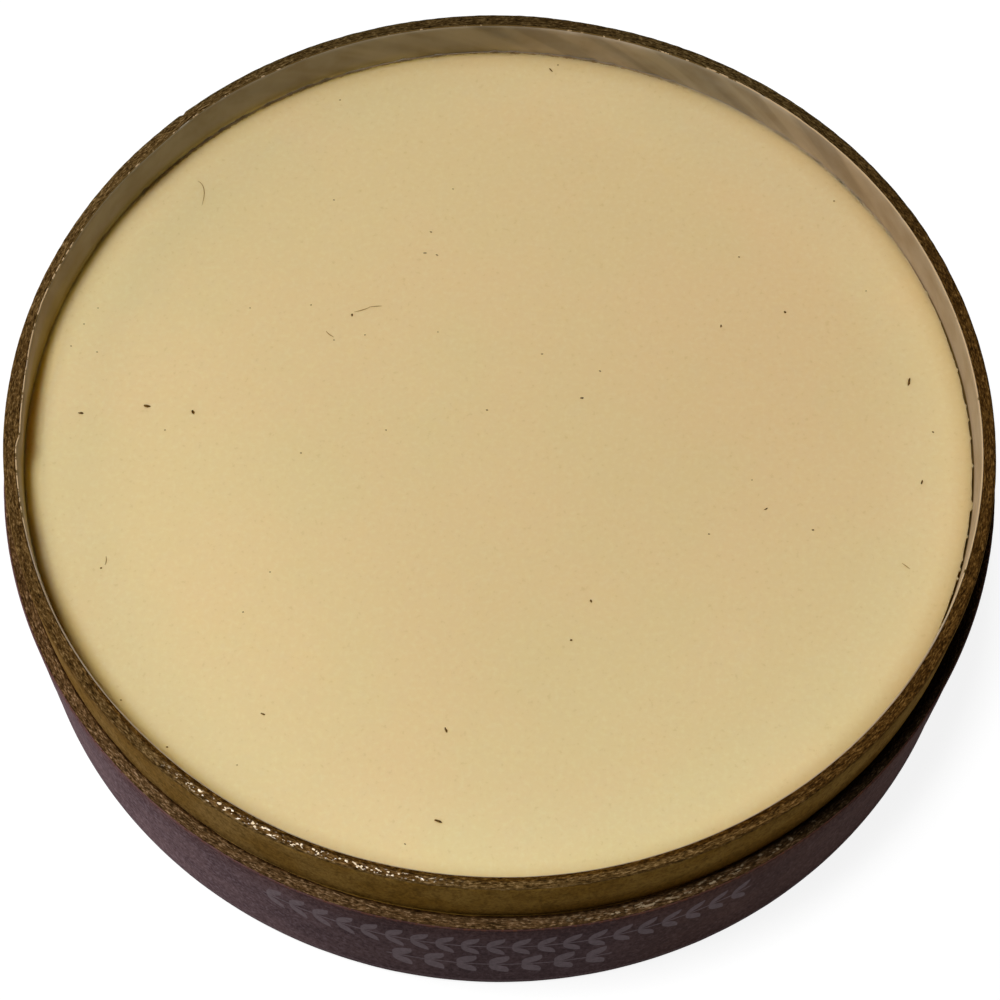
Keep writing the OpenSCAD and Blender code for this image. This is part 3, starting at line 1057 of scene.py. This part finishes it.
# %% Finishes of the small pieces and the base
speck_finish = Finish("herb")
bark = speck_finish.cloud(speck_finish.place, 6.0, 2.0, 0.6)
bark = speck_finish.ramp(bark, 0.3, 0.7)
speck_finish.colour = speck_finish.mix(bark, shade(62, 42, 12), shade(112, 80, 34))
speck_finish.wear(herb_specks, Roughness=0.9, Specular_IOR_Level=0.03)
fibre_finish = Finish("plant fibre")
straw = fibre_finish.cloud(fibre_finish.place, 3.0, 2.0, 0.6)
fibre_finish.colour = fibre_finish.mix(straw, shade(136, 102, 54), shade(170, 140, 88))
fibre_finish.wear(wax_fibres, Roughness=0.9, Specular_IOR_Level=0.03)
base_finish = Finish("base board")
pulp = base_finish.cloud(base_finish.place, 0.9, 4.0, 0.65)
cloudy = base_finish.ramp(pulp, 0.3, 0.7)
base_finish.colour = base_finish.mix(cloudy, shade(122, 98, 64), shade(152, 128, 92))
base_finish.wear(
    base_board, "base_board", Roughness=0.9,
    Specular_IOR_Level=0.1, Normal=base_finish.relief(pulp, 0.04),
)

# %% [markdown]
# The stage is a plain pale floor. The picture has to show it white, but white paper under the pack
# would also light its walls too much, so the floor shows itself as white to the camera and to
# reflections, and as plain pale grey to the light that bounces. Its shadow stays.

# %% Floor
FLOOR_TONE = (0.55, 0.55, 0.55, 1)
FLOOR_SHADED = (0.18, 0.18, 0.18, 1)
FLOOR_GLOW = 0.88
FLOOR_HALF = 4.0
FLOOR_DROP = 0.0001


def seen_directly(tree):
    """1 for the camera, for reflections and for what is seen through glass."""
    path = tree.nodes.new("ShaderNodeLightPath")
    total = path.outputs["Is Camera Ray"]
    for name in ("Is Glossy Ray", "Is Transmission Ray"):
        either = tree.nodes.new("ShaderNodeMath")
        either.operation = "MAXIMUM"
        tree.links.new(total, either.inputs[0])
        tree.links.new(path.outputs[name], either.inputs[1])
        total = either.outputs[0]
    return total


def added(tree, kind, **inputs):
    """A new node with its inputs filled in."""
    made = tree.nodes.new(kind)
    for name, value in inputs.items():
        made.inputs[name].default_value = value
    return made


def show_by_ray(tree, bounced, direct, output_kind):
    """Gives bounced light one shader, and what looks straight at it another."""
    chosen = tree.nodes.new("ShaderNodeMixShader")
    for socket, source in enumerate((seen_directly(tree), bounced.outputs[0], direct.outputs[0])):
        tree.links.new(source, chosen.inputs[socket])
    output = tree.nodes.new(output_kind)
    tree.links.new(chosen.outputs[0], output.inputs["Surface"])


floor_mesh = bpy.data.meshes.new("floor")
corners = [(x * FLOOR_HALF, y * FLOOR_HALF, 0) for x, y in ((-1, -1), (1, -1), (1, 1), (-1, 1))]
floor_mesh.from_pydata(corners, [], [(0, 1, 2, 3)])
floor = bpy.data.objects.new("floor", floor_mesh)
floor.location.z = -FLOOR_DROP
bpy.context.scene.collection.objects.link(floor)
floor_paint = bpy.data.materials.new("floor")
floor_paint.use_nodes = True
tree = floor_paint.node_tree
tree.nodes.clear()
plain = added(tree, "ShaderNodeBsdfDiffuse", Color=FLOOR_TONE)
dull = added(tree, "ShaderNodeBsdfDiffuse", Color=FLOOR_SHADED)
glow = added(tree, "ShaderNodeEmission", Strength=FLOOR_GLOW)
lit = tree.nodes.new("ShaderNodeAddShader")
tree.links.new(dull.outputs[0], lit.inputs[0])
tree.links.new(glow.outputs[0], lit.inputs[1])
show_by_ray(tree, plain, lit, "ShaderNodeOutputMaterial")
floor_mesh.materials.append(floor_paint)

# %% [markdown]
# One large softbox hangs nearly overhead, leaning to the left, so the rim throws a short soft shadow
# on the wax at the left. A second, low one at the left reaches the walls. The rest of the room is
# dark, which leaves the right front of the neck almost black, as on the real pack.

# %% Light
WHITE = (1, 1, 1, 1)


def softbox(name, bearing, elevation, distance, width, strength):
    """A square lamp that looks at the pack; strength is its share of plain daylight on the wax."""
    turn, rise = math.radians(bearing), math.radians(elevation)
    away = Vector((math.cos(turn) * math.cos(rise), math.sin(turn) * math.cos(rise), math.sin(rise)))
    lamp = bpy.data.lights.new(name, "AREA")
    lamp.shape = "SQUARE"
    lamp.size = width
    lamp.energy = strength * math.pi ** 2 * distance ** 2
    holder = bpy.data.objects.new(name, lamp)
    holder.location = away * distance + Vector((0, 0, wax_z * MM))
    holder.rotation_mode = "QUATERNION"
    holder.rotation_quaternion = away.to_track_quat("Z", "Y")
    bpy.context.scene.collection.objects.link(holder)
    print(f"{name}: {lamp.energy:.2f} W at {distance} m")


softbox("key", bearing=189, elevation=77, distance=0.9, width=0.2, strength=0.86)
softbox("low", bearing=166, elevation=20, distance=0.9, width=0.5, strength=0.34)

world = bpy.data.worlds.new("room")
bpy.context.scene.world = world
world.use_nodes = True
tree = world.node_tree
tree.nodes.clear()
dim = added(tree, "ShaderNodeBackground", Color=WHITE, Strength=0)
bright = added(tree, "ShaderNodeBackground", Color=WHITE, Strength=1)
show_by_ray(tree, dim, bright, "ShaderNodeOutputWorld")
bpy.context.scene.view_settings.view_transform = "Standard"
